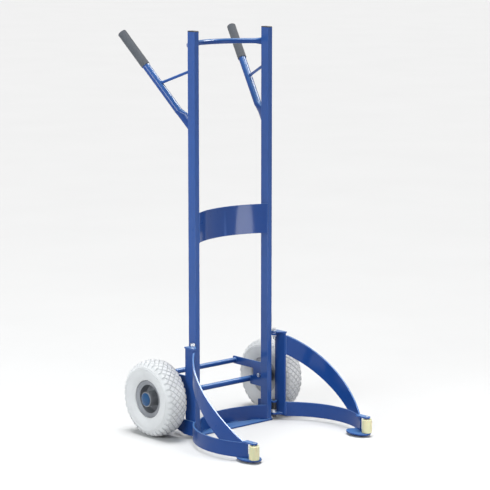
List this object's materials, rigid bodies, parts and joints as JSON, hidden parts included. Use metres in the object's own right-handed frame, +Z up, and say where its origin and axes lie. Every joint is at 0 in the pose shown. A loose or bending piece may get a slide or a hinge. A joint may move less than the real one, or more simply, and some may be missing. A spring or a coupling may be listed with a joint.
{
  "type": "tire trolley",
  "caption": "Upright steel trolley that grips a stack of tyres between sprung, roller-tipped arms and wheels it away on puncture-proof tyres.",
  "frame": {"origin": "on the floor, midway between the uprights, below their front faces", "axes": "+Z up, -Y towards the load, +X to the right of someone who faces +Y"},
  "size_m": [0.6182, 0.6975, 1.355],
  "materials": {
    "blue_paint": "satin powder coat",
    "painted_axle": "satin powder coat",
    "black_plastic": "moulded",
    "foam_grip": "matte foam",
    "zinc_steel": "bright zinc",
    "dark_steel": "black oxide",
    "white_tyre": "matte, block tread",
    "grey_rim": "grey coated",
    "bearing_steel": "ground",
    "blue_cap": "glossy",
    "ivory_nylon": "turned nylon"
  },
  "bodies": {
    "frame": {"axle": "painted_axle", "axle_retaining_rings": "zinc_steel", "axle_washers": "zinc_steel", "back_plate": "blue_paint", "bracket_bolts": "zinc_steel", "bracket_nuts": "zinc_steel", "foot_bar": "blue_paint", "left_grip": "foam_grip", "left_handle": "blue_paint", "left_handle_brace": "blue_paint", "left_hinge_ears": "blue_paint", "left_side_bracket": "blue_paint", "left_upright": "blue_paint", "lower_bow": "blue_paint", "right_grip": "foam_grip", "right_handle": "blue_paint", "right_handle_brace": "blue_paint", "right_hinge_ears": "blue_paint", "right_side_bracket": "blue_paint", "right_upright": "blue_paint", "toe_plate": "blue_paint", "top_bow_tube": "blue_paint", "upper_hinge_bolts": "dark_steel", "upper_hinge_nuts": "zinc_steel", "upper_hinge_washers": "zinc_steel", "upright_end_caps": "black_plastic"},
    "left_arm": {"left_arm_post": "blue_paint", "left_arm_top_ear": "blue_paint", "left_arm_bottom_ear": "blue_paint", "left_arm_lower_bar": "blue_paint", "left_arm_upper_strip": "blue_paint", "left_roller_tab": "blue_paint", "left_roller_support": "blue_paint", "left_roller_pin": "zinc_steel", "left_foot_pin": "zinc_steel", "left_lower_hinge_bolt": "dark_steel", "left_lower_hinge_nut": "zinc_steel", "left_arm_spring": "dark_steel"},
    "left_tip_roller": {"left_roller": "ivory_nylon"},
    "left_wheel": {"left_tyre": "white_tyre", "left_rim": "grey_rim", "left_wheel_bearings": "bearing_steel", "left_hub_cap": "blue_cap"},
    "right_arm": {"right_arm_post": "blue_paint", "right_arm_top_ear": "blue_paint", "right_arm_bottom_ear": "blue_paint", "right_arm_lower_bar": "blue_paint", "right_arm_upper_strip": "blue_paint", "right_roller_tab": "blue_paint", "right_roller_support": "blue_paint", "right_roller_pin": "zinc_steel", "right_foot_pin": "zinc_steel", "right_lower_hinge_bolt": "dark_steel", "right_lower_hinge_nut": "zinc_steel", "right_arm_spring": "dark_steel"},
    "right_tip_roller": {"right_roller": "ivory_nylon"},
    "right_wheel": {"right_tyre": "white_tyre", "right_rim": "grey_rim", "right_wheel_bearings": "bearing_steel", "right_hub_cap": "blue_cap"}
  },
  "joints": [
    {"name": "left_arm_swing", "type": "hinge", "parent": "frame", "child": "left_arm", "pos_m": [-0.1841, 0.0006, 0.18], "axis": [0, 0, -1], "range_deg": [0, 25], "stiffness_Nm_per_rad": 8, "springref_deg": -5.73, "deforming": ["left_arm_spring"]},
    {"name": "left_tip_roller_spin", "type": "hinge", "parent": "left_arm", "child": "left_tip_roller", "pos_m": [-0.25466, -0.38214, 0.036], "axis": [0, 0, 1], "continuous": true},
    {"name": "left_wheel_spin", "type": "hinge", "parent": "frame", "child": "left_wheel", "pos_m": [-0.2623, 0.1027, 0.13], "axis": [1, 0, 0], "continuous": true},
    {"name": "right_arm_swing", "type": "hinge", "parent": "frame", "child": "right_arm", "pos_m": [0.1841, 0.0006, 0.18], "axis": [0, 0, 1], "range_deg": [0, 25], "stiffness_Nm_per_rad": 8, "springref_deg": -5.73, "deforming": ["right_arm_spring"]},
    {"name": "right_tip_roller_spin", "type": "hinge", "parent": "right_arm", "child": "right_tip_roller", "pos_m": [0.25466, -0.38214, 0.036], "axis": [0, 0, 1], "continuous": true},
    {"name": "right_wheel_spin", "type": "hinge", "parent": "frame", "child": "right_wheel", "pos_m": [0.2623, 0.1027, 0.13], "axis": [1, 0, 0], "continuous": true}
  ]
}
